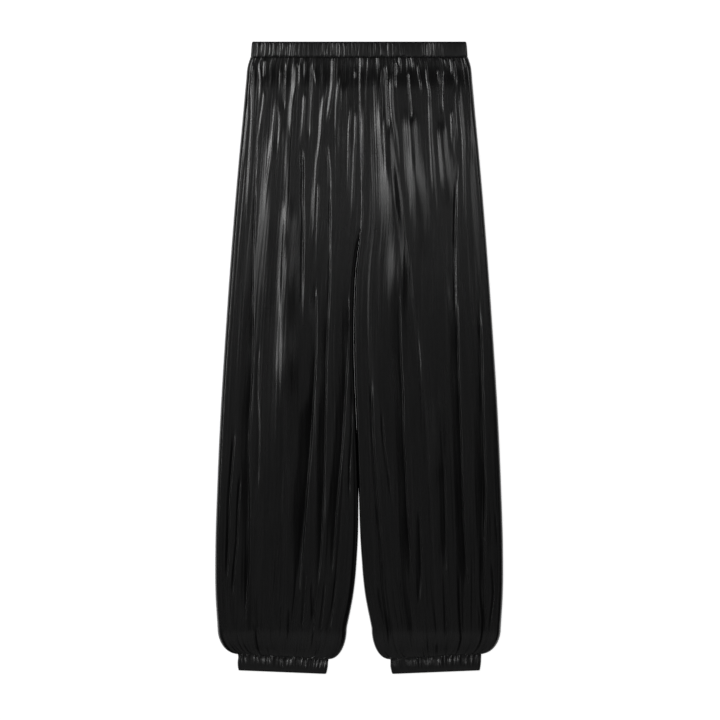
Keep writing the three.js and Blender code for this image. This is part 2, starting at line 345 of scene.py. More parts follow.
# Creases of the fronts. Each follows a line of (drop, out) points. A ridge has a positive rise and a
# trough a negative one, inner and outer are its flanks' widths, and fade is the share of its length
# over which it dies away at the top and at the foot.
frontCreases = {
    "left": [
        # ridges and pleats of the hip, from the centre seam outwards
        dict(line=((85, 6), (140, 5.6), (230, 4), (290, 3.6), (325, 3)), rise=0.55, inner=1.7, outer=1.8),
        dict(line=((235, 4), (270, 3.8), (318, 3.6)), rise=0.6, inner=2.6, outer=2.4),
        dict(line=((34, 39), (50, 37.5), (70, 35.5), (150, 35), (175, 36.5), (205, 39)), rise=1.1, inner=3.4,
             outer=1.5),
        dict(line=((36, 42), (60, 43), (90, 44), (120, 46), (150, 48)), rise=-1, inner=4, outer=4.5),
        dict(line=((110, 38), (140, 39.5), (170, 41), (230, 44)), rise=0.5, inner=1.5, outer=1.6),
        dict(line=((50, 27), (110, 29), (180, 30)), rise=0.7, inner=6, outer=5),
        dict(line=((95, 40), (140, 44), (200, 49), (250, 54), (300, 60), (340, 64), (425, 67),
                   (510, 70)), rise=4.6, inner=17, outer=9, fade=(0.3, 0.4)),
        dict(line=((46, 50.5), (80, 50.3), (100, 51), (125, 54), (150, 57.5), (180, 61), (228, 68)), rise=0.9,
             inner=1.3, outer=2.8),
        dict(line=((222, 67.5), (260, 70), (300, 73.5), (340, 79), (400, 84.5), (460, 91), (500, 95.5),
                   (550, 98), (645, 101)), rise=-0.9, inner=2, outer=2, fade=(0.2, 0.4)),
        dict(line=((34, 60), (56, 62)), rise=0.6, inner=1.4, outer=1.3),
        dict(line=((32, 57.5), (76, 57.3)), rise=-0.9, inner=1.6, outer=1.6),
        dict(line=((46, 77), (70, 78.3), (100, 81), (128, 82.5)), rise=-1.2, inner=2, outer=2),
        dict(line=((34, 92), (50, 94), (70, 97.5), (88, 98)), rise=0.55, inner=1.6, outer=1.4),
        dict(line=((105, 79), (150, 82.5), (200, 87), (240, 92), (300, 98), (350, 101)), rise=2.8, inner=11,
             outer=11),
        dict(line=((185, 88), (250, 91)), rise=0.25, inner=1.5, outer=1.5),
        dict(line=((40, 106), (60, 107.5), (80, 111), (110, 111.6)), rise=0.6, inner=1.5, outer=1.6),
        dict(line=((85, 111), (150, 113), (200, 116), (240, 118.5), (305, 121)), rise=0.8, inner=2.6,
             outer=2.8),
        dict(line=((42, 123.5), (60, 126), (74, 127.7)), rise=0.45, inner=1.5, outer=1.5),
        dict(line=((40, 133), (80, 131), (118, 132)), rise=-0.7, inner=6, outer=5),
        dict(line=((125, 130), (160, 132), (200, 136), (240, 140), (275, 143)), rise=1.9, inner=7, outer=7),
        dict(line=((26, 135), (34, 137), (44, 139)), rise=0.7, inner=1.5, outer=1.5),
        dict(line=((26, 144), (40, 146), (58, 148)), rise=0.6, inner=1.6, outer=1.6),
        dict(line=((28, 149), (45, 151), (60, 152.5), (72, 153)), rise=0.6, inner=1.4, outer=1.5),
        dict(line=((108, 146), (140, 147), (165, 148), (188, 149.5)), rise=0.8, inner=2.4, outer=1.8),
        dict(line=((72, 150.5), (110, 152), (130, 153), (172, 156)), rise=0.4, inner=1.4, outer=1.4),
        dict(line=((62, 157), (85, 158.5), (110, 160), (145, 163.5), (180, 165), (250, 166.5), (335, 164)),
             rise=0.75, inner=1.5, outer=2.2),
        dict(line=((56, 176), (90, 175.5), (160, 176.5), (240, 176), (285, 179), (345, 181)), rise=0.9,
             inner=5, outer=3.4),
        dict(line=((140, 187.5), (180, 190), (215, 192.3)), rise=0.45, inner=1.6, outer=1.6),
        # valleys of the thigh and the calf, and what stands between them
        dict(line=((170, 157.5), (200, 155), (240, 153), (340, 151), (400, 151.5), (470, 153)), rise=-1.9,
             inner=4, outer=4, fade=(0.3, 0.3)),
        dict(line=((390, 155), (460, 155.5), (520, 156.5), (580, 159), (640, 161), (700, 162.5), (760, 165),
                   (820, 169), (880, 175)), rise=-3.1, inner=9.8, outer=9.1, fade=(0.2, 0.16)),
        dict(line=((360, 186), (420, 190), (480, 192.5), (560, 194.5), (640, 197), (720, 199), (800, 196.5),
                   (880, 197), (945, 202)), rise=-2, inner=4.4, outer=4.4, fade=(0.25, 0.15)),
        dict(line=((375, 139), (440, 142), (520, 143), (590, 147)), rise=0.5, inner=4, outer=3),
        dict(line=((380, 64), (440, 64), (500, 65.5), (560, 69), (620, 69.5), (680, 73), (740, 75.5),
                   (800, 80), (865, 87)), rise=-3, inner=12.6, outer=11.2, fade=(0.22, 0.2)),
        dict(line=((520, 19), (580, 19.7), (620, 21), (660, 23), (700, 26), (740, 29.5), (800, 34.5),
                   (860, 38), (900, 42.5), (950, 49.5)), rise=-2, inner=2.6, outer=2.8, fade=(0.2, 0.15)),
        dict(line=((585, 35), (640, 40), (680, 46), (730, 52)), rise=-1.3, inner=2.8, outer=2.8),
        dict(line=((660, 134), (720, 136), (780, 137), (850, 137)), rise=-2.2, inner=14, outer=14),
        dict(line=((735, 95), (790, 97), (840, 98), (905, 92)), rise=-1.4, inner=7, outer=7),
        dict(line=((560, 122), (620, 124), (690, 118), (740, 116)), rise=0.8, inner=9, outer=10),
        dict(line=((560, 178), (640, 181), (720, 184), (800, 183)), rise=0.8, inner=8, outer=7),
        # small creases that fan out above the cuff
        dict(line=((835, 134), (880, 136), (920, 137), (955, 136)), rise=-0.72, inner=3.6, outer=3.6),
        dict(line=((840, 159), (900, 160), (950, 162.5)), rise=-0.66, inner=3.3, outer=3.3),
        dict(line=((820, 210), (870, 213), (935, 206)), rise=-0.61, inner=3.3, outer=3.3),
        dict(line=((740, 216), (800, 219.5)), rise=-0.44, inner=2.7, outer=2.7),
        dict(line=((845, 63), (890, 68), (935, 73)), rise=-0.72, inner=4.2, outer=4.2),
        dict(line=((855, 29), (900, 36), (945, 45)), rise=-0.55, inner=3.3, outer=3.6),
        dict(line=((880, 188), (915, 191), (945, 189)), rise=-0.5, inner=3, outer=3),
    ],
    "right": [
        dict(line=((95, 3.5), (140, 5.6), (203, 8.6), (300, 10.5), (345, 12)), rise=0.6, inner=1.9, outer=2),
        dict(line=((46, 6.3), (61, 6.3)), rise=0.4, inner=1.3, outer=1.3),
        dict(line=((90, 13.2), (110, 14), (150, 16.5), (190, 16.8), (290, 19.6)), rise=0.6, inner=1.6,
             outer=1.7),
        dict(line=((60, 24), (130, 27), (210, 30)), rise=0.9, inner=6, outer=6),
        dict(line=((44, 30), (63, 32.3), (92, 35.3), (136, 37.3), (174, 39.3)), rise=0.45, inner=1.5,
             outer=1.6),
        dict(line=((25, 41), (64, 41.6), (80, 43.2), (100, 46.2), (145, 53)), rise=0.9, inner=1.7, outer=2.6,
             fade=(0.05, 0.35)),
        dict(line=((56, 51.5), (80, 53), (96, 56.4), (151, 61), (183, 65), (231, 69), (290, 71), (370, 72)),
             rise=1, inner=1.5, outer=2.8),
        dict(line=((212, 64.5), (250, 64.8), (290, 66), (372, 67)), rise=0.7, inner=2, outer=1.8),
        dict(line=((42, 71.5), (56, 69), (76, 66.3)), rise=0.45, inner=1.4, outer=1.4),
        dict(line=((30, 75), (70, 76), (110, 78), (160, 80)), rise=-1, inner=6, outer=5),
        dict(line=((160, 52), (185, 48), (240, 45)), rise=-1, inner=6, outer=4),
        dict(line=((26, 85.5), (64, 86)), rise=0.45, inner=1.5, outer=1.5),
        dict(line=((34, 94), (60, 93), (82, 92)), rise=0.45, inner=2, outer=2),
        dict(line=((80, 86.2), (105, 87.4), (124, 88.7), (148, 90.6), (178, 93)), rise=0.75, inner=2,
             outer=2.2),
        dict(line=((168, 92.3), (195, 90), (250, 90.2), (290, 89), (330, 90), (400, 90.5), (460, 92)),
             rise=-2.2, inner=4, outer=3, fade=(0.07, 0.35)),
        dict(line=((26, 99), (72, 101), (98, 105), (132, 107.4), (171, 110.4), (250, 113), (345, 118)),
             rise=1.5, inner=1.6, outer=4.2, fade=(0.08, 0.25)),
        dict(line=((120, 113), (200, 118), (300, 122), (365, 124)), rise=1, inner=5, outer=10),
        dict(line=((240, 116.5), (310, 119.5), (366, 121), (420, 122), (520, 123.5)), rise=0.35, inner=1.5,
             outer=1.8),
        dict(line=((235, 109), (310, 112), (366, 113.5), (420, 114.5), (480, 115.5), (560, 115),
                   (665, 112)), rise=4.6, inner=14, outer=12, fade=(0.2, 0.42)),
        dict(line=((27, 117), (60, 118), (112, 118.5)), rise=-0.9, inner=3.6, outer=5),
        dict(line=((42, 124.5), (94, 124)), rise=0.35, inner=1.5, outer=1.5),
        dict(line=((92, 127.2), (132, 125.3), (163, 127), (203, 129.5), (245, 133.5)), rise=0.5, inner=1.7,
             outer=1.9),
        dict(line=((84, 130.8), (108, 133), (140, 136), (180, 139.3), (235, 146), (305, 150)), rise=0.7,
             inner=1.7, outer=2.4),
        dict(line=((140, 133), (250, 139), (330, 143), (460, 146)), rise=1.9, inner=10, outer=12),
        dict(line=((27, 149), (48, 150), (65, 150.5)), rise=0.7, inner=1.8, outer=2),
        dict(line=((76, 150), (98, 151.5), (116, 154), (165, 160)), rise=0.6, inner=1.7, outer=1.7),
        dict(line=((29, 158), (60, 156), (100, 156)), rise=0.4, inner=1.5, outer=1.5),
        dict(line=((146, 162), (215, 163.2)), rise=-0.7, inner=1.7, outer=1.7),
        dict(line=((28, 168), (92, 168.6), (132, 169.7), (171, 171.7), (250, 176), (335, 181)), rise=0.75,
             inner=2.1, outer=1.5, fade=(0.08, 0.4)),
        dict(line=((78, 174.4), (124, 176), (150, 178.8), (205, 181.5)), rise=0.6, inner=1.7, outer=2),
        # valleys of the thigh and the calf, and what stands between them
        dict(line=((225, 164.5), (310, 167), (380, 168.7), (435, 170)), rise=-1.5, inner=2.2, outer=2.2),
        dict(line=((370, 168.5), (440, 168.5), (520, 169), (600, 174), (680, 175.5), (760, 174), (840, 175.5),
                   (900, 179), (945, 180)), rise=-3.4, inner=14, outer=12.6, fade=(0.2, 0.2)),
        dict(line=((470, 158), (560, 160), (620, 158), (725, 161)), rise=-0.9, inner=6.3, outer=5.6),
        dict(line=((610, 196), (680, 202), (720, 205), (780, 206.5), (870, 209.5)), rise=-1.5, inner=3.8,
             outer=3.8),
        dict(line=((680, 187.5), (740, 191), (790, 193), (830, 197), (890, 200.5)), rise=-1.4, inner=3.2,
             outer=3.2),
        dict(line=((380, 70), (440, 68), (500, 68.5), (560, 72), (645, 76.5)), rise=-1.9, inner=7, outer=7.7),
        dict(line=((550, 72.5), (640, 77), (700, 82), (760, 86.5), (820, 91), (880, 95.5)), rise=-3.8,
             inner=16.8, outer=18.2),
        dict(line=((232, 46.7), (310, 47), (400, 48), (450, 49.5)), rise=-1.6, inner=2.3, outer=2.3),
        dict(line=((390, 48.3), (460, 50.5), (520, 52.5), (600, 54), (680, 55.5), (740, 58), (800, 60.5),
                   (870, 66)), rise=-2.7, inner=9.1, outer=9.8, fade=(0.2, 0.2)),
        dict(line=((385, 18), (440, 17), (480, 17.5), (520, 20), (580, 23.5), (640, 27), (700, 32.5),
                   (740, 36), (800, 40), (860, 45)), rise=-3.1, inner=12.6, outer=12.6, fade=(0.18, 0.2)),
        dict(line=((550, 11.6), (620, 11.8), (680, 15), (730, 15.7)), rise=-0.9, inner=2.2, outer=2.2),
        dict(line=((550, 36), (620, 39), (660, 42), (700, 46), (740, 50), (800, 54), (850, 59)), rise=0.5,
             inner=3.2, outer=3.2),
        dict(line=((545, 15.5), (640, 17), (700, 21), (770, 25)), rise=0.4, inner=3, outer=3),
        dict(line=((510, 61), (600, 65), (680, 67.5), (740, 67), (810, 68)), rise=0.7, inner=4, outer=4),
        dict(line=((540, 128), (620, 122), (720, 112), (820, 118)), rise=1, inner=13, outer=14),
        dict(line=((560, 96), (640, 97), (720, 105), (790, 108)), rise=0.7, inner=7, outer=8),
        # small creases that fan out above the cuff
        dict(line=((845, 72), (880, 73.5), (920, 71.5), (952, 77)), rise=-0.88, inner=4.2, outer=4.2),
        dict(line=((825, 83), (880, 86.5), (940, 91)), rise=-0.72, inner=3.9, outer=3.9),
        dict(line=((850, 53), (890, 56), (945, 62)), rise=-0.66, inner=3.75, outer=3.75),
        dict(line=((840, 35), (880, 39), (935, 47)), rise=-0.5, inner=3.3, outer=3.3),
        dict(line=((880, 167), (915, 163), (955, 149)), rise=-0.61, inner=3.45, outer=3.45),
        dict(line=((885, 124), (955, 127)), rise=-0.5, inner=3.75, outer=3.75),
        dict(line=((890, 109), (955, 112)), rise=-0.55, inner=3.45, outer=3.45),
        dict(line=((918, 181.5), (938, 180)), rise=0.39, inner=2.25, outer=2.25),
    ],
}
backCreases = {
    "left": [
        dict(line=((60, 30), (180, 33), (300, 38), (420, 36)), rise=1.2, inner=5, outer=7),
        dict(line=((90, 72), (250, 80), (400, 84), (560, 92)), rise=1.5, inner=6, outer=5),
        dict(line=((200, 118), (370, 124), (530, 130), (700, 127)), rise=1.3, inner=5, outer=8),
        dict(line=((50, 150), (160, 156), (270, 160), (380, 165)), rise=1.4, inner=5, outer=5),
        dict(line=((420, 24), (590, 28), (760, 36), (930, 52)), rise=1.6, inner=6, outer=7),
        dict(line=((480, 150), (620, 158), (760, 166), (900, 165)), rise=1.5, inner=7, outer=5),
        dict(line=((620, 96), (730, 101), (830, 104), (940, 108)), rise=1.3, inner=5, outer=5),
        dict(line=((560, 192), (670, 198), (780, 202), (880, 200)), rise=1.1, inner=4, outer=5),
    ],
    "right": [
        dict(line=((70, 26), (210, 30), (350, 28), (500, 34)), rise=1.4, inner=5, outer=6),
        dict(line=((55, 64), (150, 68), (250, 75), (350, 78)), rise=1.1, inner=4, outer=6),
        dict(line=((140, 104), (310, 110), (470, 116), (640, 112)), rise=1.6, inner=7, outer=5),
        dict(line=((80, 146), (210, 151), (330, 158), (460, 168)), rise=1.3, inner=5, outer=6),
        dict(line=((500, 40), (650, 48), (800, 58), (950, 66)), rise=1.4, inner=5, outer=6),
        dict(line=((540, 142), (670, 150), (800, 156), (930, 150)), rise=1.7, inner=6, outer=8),
        dict(line=((660, 98), (760, 94), (850, 98), (950, 102)), rise=1.2, inner=5, outer=4),
        dict(line=((400, 188), (550, 194), (700, 204), (860, 206)), rise=1.2, inner=5, outer=5),
    ],
}

rollShape = {
    "share": 0.85,  # of the CAD's rise, since the creases add to it
    "power": 3.6,  # flat on top, with narrow valleys
    "fill": (1, 0.86),  # how far the valleys are filled at the hip, and from the thigh down
    "fillDrop": (300, 540),
    "startDrop": (20, 75),
    "cuffReach": 50,
    "crestWidth": 1.1,
    "backShare": 0.6,
    "backFlank": (0.25, 0.75),
}


def rollHeights(across, drop, legRolls):
    # the front's rise, and the smaller rise of the back under it
    shape = rollShape
    sewn = smoothStep(*shape["startDrop"], drop)
    sewn *= smoothStep(0, shape["cuffReach"], cuffSeam["innerDrop"] - drop)
    fill = np.interp(smoothStep(*shape["fillDrop"], drop), (0, 1), shape["fill"])
    front, back, crest, weight, near = (np.zeros_like(across) for _ in range(5))
    for roll in legRolls:
        far = smoothCurve(drop, valleyLevels, roll["valley"])
        place = 2 * (across - near) / (far - near) - 1
        rise = np.interp(drop, riseLevels, roll["rise"]) * sewn
        inside = np.abs(place) <= 1
        front += inside * (1 - (1 - fill) * np.abs(place) ** shape["power"])
        back += inside * rise * shape["backShare"] * (1 - smoothStep(*shape["backFlank"], np.abs(place)))
        crest += rise * bump(place, shape["crestWidth"])
        weight += bump(place, shape["crestWidth"])
        near = far
    return front * crest / weight * shape["share"], back


creaseShape = {
    "softSlope": 0.4,  # rise to width, of a ridge's flank
    "headWidth": 0.85,  # a ridge's width at its top, and how much it gains on its way down
    "widening": 0.35,
    "narrow": 4.5,  # a trough with both flanks narrower than this has no lip
    "narrowReach": 1.15,
    "steepSlope": 0.75,
    "wideReach": 1.5,
    "lipSlope": 2,
    "lipWidth": 1.6,
    "unevenness": 0.15,
    "unevenLength": 21,
    "ridgeFade": (0.15, 0.45),
    "troughFade": (0.15, 0.25),
}


def creaseHeight(out, drop, side, creases):
    # A ridge is a soft hump, softest on its flank towards -x, and widens towards its foot. A narrow
    # trough has a sharp bottom, and is steeper on the flank that looks towards -x. A wide one lies
    # under a steep lip on that side, and runs out softly on the other.
    shape = creaseShape
    height = np.zeros_like(out)
    for crease in creases:
        drops, outs = zip(*crease["line"])
        t = (drop - drops[0]) / (drops[-1] - drops[0])
        aside = out - smoothCurve(drop, drops, outs)
        width = np.where(aside < 0, crease["inner"], crease["outer"])
        if crease["rise"] > 0:
            softest = crease["rise"] / shape["softSlope"]
            width = np.where(aside * side < 0, np.maximum(width, softest), width)
            section = bump(aside, width * (shape["headWidth"] + shape["widening"] * np.clip(t, 0, 1)))
        elif max(crease["inner"], crease["outer"]) < shape["narrow"]:
            steepest = -crease["rise"] / shape["steepSlope"]
            width = np.where(aside * side > 0, np.minimum(width, steepest), width)
            section = np.clip(1 - np.abs(aside) / width / shape["narrowReach"], 0, 1)
        else:
            lip = max(-crease["rise"] / shape["lipSlope"], shape["lipWidth"])
            section = np.where(aside * side > 0, np.clip(1 - np.abs(aside) / lip, 0, 1),
                               np.clip(1 - np.abs(aside) / width / shape["wideReach"], 0, 1) ** 2)
        top, foot = crease.get("fade", shape["ridgeFade" if crease["rise"] > 0 else "troughFade"])
        uneven = shape["unevenness"] * (np.sin(drop / shape["unevenLength"] + outs[0]) - 1)
        rise = crease["rise"] * (1 + uneven)
        height += rise * section * smoothStep(0, top, t) * smoothStep(0, foot, 1 - t)
    return height


gathers = {
    "waist": {"count": 22, "width": (1, 2), "reach": (15, 70), "rise": (0.1, 0.45), "lean": 4},
    "waistPleats": {"count": 13, "width": (1.1, 2.2), "reach": (6, 24), "rise": (0.2, 0.6), "lean": 2},
    "cuff": {"count": 28, "width": (1.6, 3.2), "reach": (14, 70), "rise": (0.2, 0.9), "lean": 5},
}
gatherScatter = 0.35  # of the step from one gather to the next
gatherWidening = 0.9


def gatherHeight(across, fromSeam, width, size, rng):
    # small uneven pleats that start at a seam, and fade and lean as they run away from it
    height = np.zeros_like(across)
    for k in range(size["count"]):
        spot = (k + 0.5 + rng.uniform(-gatherScatter, gatherScatter)) / size["count"]
        lean, thick = rng.uniform(-1, 1) * size["lean"], rng.uniform(*size["width"])
        reach, rise = rng.uniform(*size["reach"]), rng.uniform(*size["rise"])
        aside = (across - spot) * width - lean * fromSeam / reach
        thick = thick * (1 + gatherWidening * fromSeam / reach)
        height += rise * bump(aside, thick) * bump(fromSeam, reach)
    return height


ripple = {
    "count": 20,
    "waves": (9, 60),
    "slope": 0.018,
    "wander": 0.9,
    "wanderLength": (260, 700),
    "fadeShare": 0.7,  # length over which one swells and fades, as a share of its wander's
}


def rippleHeight(across, drop, width, rng):
    # faint long ripples of many widths, that wander from side to side
    height = np.zeros_like(across)
    for k in range(ripple["count"]):
        waves = rng.uniform(*ripple["waves"])
        length = rng.uniform(*ripple["wanderLength"])
        drift = ripple["wander"] * np.sin(2 * math.pi * (drop / length + rng.uniform()))
        fade = 0.5 + 0.5 * np.sin(2 * math.pi * (drop / (ripple["fadeShare"] * length) + rng.uniform()))
        wave = np.cos(2 * math.pi * (waves * across + rng.uniform()) + drift)
        height += ripple["slope"] * width / (2 * math.pi * waves) * wave * fade
    return height


def seamShapes(across, drop, width, innerRadius):
    # how far the cloth stands up beside each seam, from 0 to 1, and the groove at the centre seam
    apart = smoothStep(*leg["crotchDrop"], drop)
    outer = roundOver((1 - across) * width, leg["sideRadius"])
    inner = 1 - apart * (1 - roundOver(across * width, innerRadius))
    pucker = 1 + leg["seamPucker"] * np.sin(2 * math.pi * drop / leg["seamPuckerLength"])
    groove = leg["seamGroove"] * pucker * bump(across * width, leg["seamGrooveWidth"])
    return outer * inner, groove * (1 - apart)


def legFace(name, wearer, isFront):
    side = 1 if wearer == "left" else -1
    rng = np.random.default_rng(seeds[name])

    def place(gridAcross, depth):
        across = gridAcross if side > 0 else 1 - gridAcross
        across, out, drop, width, path = onLeg(across, depth, side)
        fromWaist = drop - legLevels[0]["drop"]
        seamDrop = cuffSeam["innerDrop"] + (cuffSeam["sideDrop"] - cuffSeam["innerDrop"]) * across
        fromCuff = seamDrop - drop
        frontRolls, backRolls = rollHeights(across, drop, rolls[wearer])
        stand, groove = seamShapes(across, drop, width, leg["innerRadius"][wearer])
        small = gatherHeight(across, fromWaist, width, gathers["waist"], rng)
        small += gatherHeight(across, fromWaist, width, gathers["waistPleats"], rng)
        start, reach = leg["pleatStart"][wearer]
        small *= start + (1 - start) * smoothStep(0, reach, fromWaist)
        small += gatherHeight(across, fromCuff, width, gathers["cuff"], rng)
        tuck = 1 - leg["waistTuck"] * bump(fromWaist, leg["waistTuckReach"])
        tuck -= leg["cuffTuck"] * bump(fromCuff, leg["cuffTuckReach"])
        if isFront:
            folds = frontRolls + creaseHeight(out, drop, side, frontCreases[wearer]) + small
            folds += rippleHeight(across, drop, width, rng)
            height = leg["edgeHeight"] + (leg["frontLoft"] + folds) * stand * tuck - groove
            backTop = backRolls * stand + leg["thickness"]
            height = np.maximum(height, backTop + leg["layerGap"] * leg["thickness"])
        else:
            folds = creaseHeight(out, drop, side, backCreases[wearer]) + leg["backGathers"] * small
            height = (backRolls + folds * smoothStep(0, leg["backSeamReach"], across * width)) * stand
            height = np.maximum(height, 0)  # it lies on the surface
        return (side * out, garmentLength / 2 - drop, height), (across * leg["clothWidth"], path)

    face = "front" if isFront else "back"
    piece = clothMesh(name, leg[face + "Columns"], leg[face + "Rows"], place, legSatin, isFront)
    shell = piece.modifiers.new("cloth", "SOLIDIFY")
    shell.thickness = leg["thickness"] * mm
    shell.offset = -1
    return piece


for wearer in ("left", "right"):
    for face in ("back", "front"):
        name = wearer + "Leg" + face.title()
        piece = legFace(name, wearer, face == "front")
        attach(piece, "root")
        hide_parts(wearer + "_leg_" + face)
print("legs made")

band = {
    "thickness": 7,  # of both layers, lying flat
    "layer": 3,
    "thinnest": 0.6,  # a layer in the ruching's dips
    "columnStep": 0.5,
    "sectionSteps": 28,
    "edgeCrown": 0.64,  # below 1, the casing's section is fuller than an ellipse
    "seamCrown": 0.45,
    "sideCrown": 0.55,
    "seamWander": 0.8,  # of the seam with the gathers
    "wanderStep": 4.5,
    "clothHeight": 25,  # of the UV map, on the outer side
    "innerCloth": 40,  # where the inner side starts on it
}
# A casing's wrinkles run across it, and the hollows between them fade out over foot, a share of the
# way down. The cloth also dips beside its seam with the leg, over dipReach, a share of its height.
ruching = {
    "waist": {"depth": 0.42, "spacing": 2.2, "width": (0.5, 1.4), "slant": 2.2, "strength": (0.3, 1.2),
              "patch": 26, "foot": (1, 1.2), "dip": 0.5, "dipReach": 0.16},
    "cuff": {"depth": 1.05, "spacing": 3.2, "width": (0.9, 2.1), "slant": 2, "strength": (0.3, 1.2),
             "patch": 19, "foot": (0.3, 0.72), "dip": 3.4, "dipReach": 0.5},
}
waistbandEnds = {
    "top": {"left": (-170, -0.3), "right": (170, -0.3)},
    "foot": {"left": (-172, 25.2), "right": (172, 25.2)},
}
cuffEnds = {
    "top": {"left": (46.6, 976.4), "right": (194.4, 968)},
    "foot": {"left": (51.6, 1000), "right": (191.6, 994.6)},
}


def mirroredEnds(ends):
    return {row: {"left": (-end["right"][0], end["right"][1]), "right": (-end["left"][0], end["left"][1])}
            for row, end in ends.items()}


ruchingShape = {
    "patchDepth": 0.35,  # how much shallower some stretches are
    "fullest": 1.2,  # where wrinkles meet
    "footUnevenness": 0.12,
    "footStep": 7,
    "dipUnevenness": 0.45,
    "dipStep": 3.2,
}


def unevenRing(at, total, step, rng):
    # a smooth random curve from -1 to 1 that closes on itself
    knots = np.linspace(0, total, round(total / step) + 1)
    values = rng.uniform(-1, 1, len(knots))
    values[-1] = values[0]
    return smoothCurve(at, knots, values)


def bandPlace(ends, kind, seed):
    # puts a flat elastic tube's points in place: once round the tube, and once round its casing
    shape = ruchingShape
    bendRadius = (band["thickness"] - band["layer"]) / 2
    length = ends["top"]["right"][0] - ends["top"]["left"][0] - band["thickness"]
    bend = math.pi * bendRadius
    perimeter = 2 * (length + bend)
    size = ruching[kind]

    def place(around, across):
        rng = np.random.default_rng(seed)
        run = around * perimeter
        onBack = np.clip(run / length, 0, 1)
        rightTurn = np.clip((run - length) / bend, 0, 1)
        onFront = np.clip((run - length - bend) / length, 0, 1)
        leftTurn = np.clip((run - 2 * length - bend) / bend, 0, 1)
        share = onBack - onFront
        angle = -math.pi / 2 + math.pi * (rightTurn + leftTurn)
        turn = 2 * math.pi * across
        fullness = np.where((np.cos(turn) > 0) == (kind == "waist"), band["edgeCrown"], band["seamCrown"])
        level = 0.5 - 0.5 * np.sign(np.cos(turn)) * np.abs(np.cos(turn)) ** fullness
        outward = np.sign(np.sin(turn)) * np.abs(np.sin(turn)) ** band["sideCrown"]
        offset = outward * band["layer"] / 2
        wrinkle = np.zeros_like(run)
        count = round(perimeter / size["spacing"])
        for k in range(count):
            spot = (k + rng.uniform(-0.5, 0.5)) * perimeter / count
            slant, bow = rng.uniform(-1, 1, 2) * size["slant"]
            width, strength = rng.uniform(*size["width"]), rng.uniform(*size["strength"])
            aside = run - spot - slant * (level - 0.5) - bow * np.sin(math.pi * level)
            aside = (aside + perimeter / 2) % perimeter - perimeter / 2
            wrinkle += strength * bump(aside, width)
        patches = 1 + shape["patchDepth"] * (unevenRing(run, perimeter, size["patch"], rng) - 1)
        footEdge = level + shape["footUnevenness"] * unevenRing(run, perimeter, shape["footStep"], rng)
        hollow = (1 - smoothStep(*size["foot"], footEdge)) * patches
        hollow *= 1 - np.clip(wrinkle, 0, shape["fullest"])
        offset -= size["depth"] * np.clip(outward, 0, 1) * hollow
        seamLevel = level if kind == "waist" else 1 - level
        dip = 1 + shape["dipUnevenness"] * (unevenRing(run, perimeter, shape["dipStep"], rng) - 1)
        dip *= size["dip"] * np.clip(1 + (seamLevel - 1) / size["dipReach"], 0, 1)
        offset -= dip * np.clip(outward, 0, 1)
        lowest = band["thinnest"] - band["layer"] / 2
        offset = np.where(outward > 0, np.maximum(offset, lowest * outward), offset)
        wander = band["seamWander"] * unevenRing(run, perimeter, band["wanderStep"], rng) * seamLevel ** 2
        left = [a + (b - a) * level for a, b in zip(ends["top"]["left"], ends["foot"]["left"])]
        right = [a + (b - a) * level for a, b in zip(ends["top"]["right"], ends["foot"]["right"])]
        half = band["thickness"] / 2
        x = left[0] + half + (right[0] - left[0] - 2 * half) * share + np.cos(angle) * (bendRadius + offset)
        drop = left[1] + (right[1] - left[1]) * share + wander
        z = half + np.sin(angle) * (bendRadius + offset)
        clothDown = level * band["clothHeight"] + band["innerCloth"] * (outward < 0)
        return (x, garmentLength / 2 - drop, z), (run, clothDown)

    return place, perimeter


def makeBand(name, node, ends, kind, seed, cut):
    # a ruched casing with its row of stitches; cut is the flat width and length of what shows, in metres
    place, perimeter = bandPlace(ends, kind, seed)
    columns = round(perimeter / band["columnStep"])
    piece = clothMesh(name, columns, band["sectionSteps"], place, bandSatin, closed=True)
    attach(piece, "root")
    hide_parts(node)
    stitches = makeStitches(name.replace("Casing", "Stitches"), place, perimeter, cut[1] / mm, kind)


stitch = {
    "pitch": 3.2,
    "length": 2.2,
    "width": 0.36,
    "height": 0.24,
    "fromSeam": 3,
    "lieShare": 0.3,  # of its length to each side, over which the cloth's direction is taken
    "segments": 8,
    "rings": 6,
    "colour": (0.006, 0.006, 0.0065),
    "roughness": 0.5,
    "twistScale": 2600,
    "twistDepth": 0.00006,
}


def makeThread():
    material, shader = newMaterial("blackThread", stitch["colour"])
    tree = material.node_tree
    shader.inputs["Roughness"].default_value = stitch["roughness"]
    where = tree.nodes.new("ShaderNodeTexCoord")
    twist = tree.nodes.new("ShaderNodeTexNoise")
    twist.inputs["Scale"].default_value = stitch["twistScale"]
    relief = tree.nodes.new("ShaderNodeBump")
    relief.inputs["Distance"].default_value = stitch["twistDepth"]
    socketLink(tree, where, "Object", twist, "Vector")
    socketLink(tree, twist, "Fac", relief, "Height")
    socketLink(tree, relief, "Normal", shader, "Normal")
    return material


thread = makeThread()


